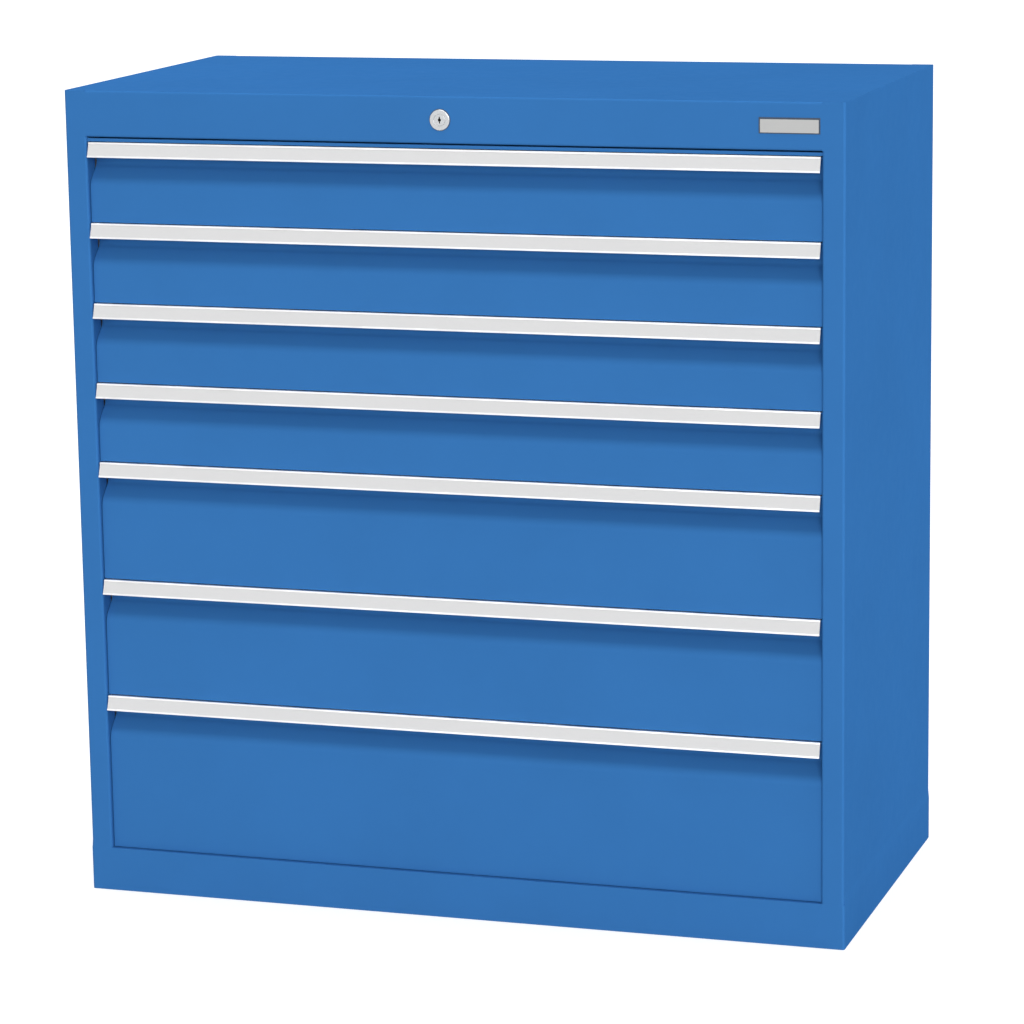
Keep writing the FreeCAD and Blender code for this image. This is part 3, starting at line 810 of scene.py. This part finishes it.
# All corners of a guide lie at two levels, its foot and its head
def guideScrews():
    low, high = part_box("lock_bar_guides")
    first = low.x + rowLook["guideInset"]
    last = high.x - rowLook["guideInset"]
    faceLevels = sorted({round(v.co.z, 5) for v in nodes["lock_bar_guides"].data.vertices})
    rows = []
    for foot, head in zip(faceLevels[::2], faceLevels[1::2]):
        ends = [(x, low.y - rowLook["guideStart"], (foot + head) / 2) for x in (first, last)]
        rows.append(("lock_bar_guides", ends[0], ends[1], (0, -1, 0)))
    setFasteners("guideScrews", rows, smallScrew, last - first, 1, "cabinet")


# Rivets hold the rails to the tray's sides, and screws hold the front to the tray
def drawerFasteners(drawer):
    tray = drawer + "_tray"
    level = slideLevel(drawer)
    low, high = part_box(tray)
    middle = middleOf(tray).y
    half = rowLook["traySideHalf"]
    rows = []
    for side in (1, -1):
        ends = [(side * (high.x - rowLook["trayStart"]), y, level) for y in (middle - half, middle + half)]
        rows.append((tray, ends[0], ends[1], (-side, 0, 0)))
    name = drawer.replace("_", "")
    setFasteners(name + "SideRivets", rows, domeRivet, 2 * half, rowLook["traySideGaps"], drawer)
    half = rowLook["trayFrontHalf"]
    ends = [(x, low.y + rowLook["trayStart"], level) for x in (-half, half)]
    rows = [(tray, ends[0], ends[1], (0, 1, 0))]
    setFasteners(name + "FrontScrews", rows, panScrew, 2 * half, rowLook["trayFrontGaps"], drawer)


cabinetRailRivets()
guideScrews()
for drawer in drawers:
    drawerFasteners(drawer)


# Studio: white world, pale floor, soft suns and the photograph's camera
worldLook = {"ambient": 0.30, "background": 1.0}
floorLook = {"albedo": 0.58, "lift": 0.60, "roughness": 0.9, "reach": 30.0, "drop": 0.0004}

# Each sun's direction, strength and width in degrees
suns = {
    "frontLamp": ((0.33, -1.0, 0.28), 2.05, 34.0),
    "sideLamp": ((1.0, 0.0, 0.10), 1.62, 40.0),
    "topLamp": ((0.0, 0.0, 1.0), 1.69, 50.0),
    "rearLamp": ((-0.8, 1.0, 0.40), 0.70, 40.0),
}
cameraLook = {
    "place": (1.4884, -4.6092, 1.4558),
    "azimuth": 17.903,
    "elevation": 11.559,
    "roll": -0.861,
    "lens": 136.157,
    "sensor": 36.0,
    "farEnd": 100.0,
}


# 1 for rays that show a surface directly, in a reflection or through glass, and 0 for its light
def seenDirectly(tree):
    path = addNode(tree, "ShaderNodeLightPath").outputs
    either = calculated(tree, "MAXIMUM", path["Is Camera Ray"], path["Is Glossy Ray"])
    return calculated(tree, "MAXIMUM", either, path["Is Transmission Ray"])


def studioWorld(look):
    world = bpy.data.worlds.new("studioWorld")
    bpy.context.scene.world = world
    world.use_nodes = True
    tree = world.node_tree
    background = tree.nodes["Background"]
    background.inputs["Color"].default_value = (1, 1, 1, 1)
    strength = remap(tree, seenDirectly(tree), 0.0, 1.0, look["ambient"], look["background"])
    tree.links.new(strength, background.inputs["Strength"])


def studioFloor(look):
    reach = look["reach"]
    outline = ((-reach, -reach), (reach, -reach), (reach, reach), (-reach, reach))
    corners = [(x, y, -look["drop"]) for x, y in outline]
    mesh = bpy.data.meshes.new("studioFloor")
    mesh.from_pydata(corners, [], [(0, 1, 2, 3)])
    floor = bpy.data.objects.new("studioFloor", mesh)
    bpy.context.scene.collection.objects.link(floor)
    material, tree, shader = newMaterial("studioFloorPaper")
    shader.inputs["Base Color"].default_value = (look["albedo"], look["albedo"], look["albedo"], 1)
    shader.inputs["Roughness"].default_value = look["roughness"]
    shader.inputs["Specular IOR Level"].default_value = 0.0
    shader.inputs["Emission Color"].default_value = (1, 1, 1, 1)
    tree.links.new(times(tree, seenDirectly(tree), look["lift"]), shader.inputs["Emission Strength"])
    mesh.materials.append(material)


def sunLamp(name, way, strength, width):
    lamp = bpy.data.lights.new(name, "SUN")
    lamp.energy = strength
    lamp.angle = math.radians(width)
    holder = bpy.data.objects.new(name, lamp)
    holder.rotation_mode = "QUATERNION"
    holder.rotation_quaternion = Vector(way).to_track_quat("Z", "Y")
    bpy.context.scene.collection.objects.link(holder)


def photoCamera(look):
    turn, tilt, roll = (math.radians(look[key]) for key in ("azimuth", "elevation", "roll"))
    ahead = Vector((-math.sin(turn) * math.cos(tilt), math.cos(turn) * math.cos(tilt), -math.sin(tilt)))
    level = Vector((math.cos(turn), math.sin(turn), 0))
    above = level.cross(ahead)
    right = math.cos(roll) * level + math.sin(roll) * above
    upward = math.cos(roll) * above - math.sin(roll) * level
    lens = bpy.data.cameras.new("photoCamera")
    lens.lens = look["lens"]
    lens.sensor_width = look["sensor"]
    lens.clip_end = look["farEnd"]
    camera = bpy.data.objects.new("photoCamera", lens)
    columns = Matrix((right, upward, -ahead)).transposed().to_4x4()
    camera.matrix_world = Matrix.Translation(look["place"]) @ columns
    bpy.context.scene.collection.objects.link(camera)
    bpy.context.scene.camera = camera


studioWorld(worldLook)
studioFloor(floorLook)
for name, sun in suns.items():
    sunLamp(name, *sun)
photoCamera(cameraLook)
bpy.context.scene.view_settings.view_transform = "Standard"
print("studio ready")
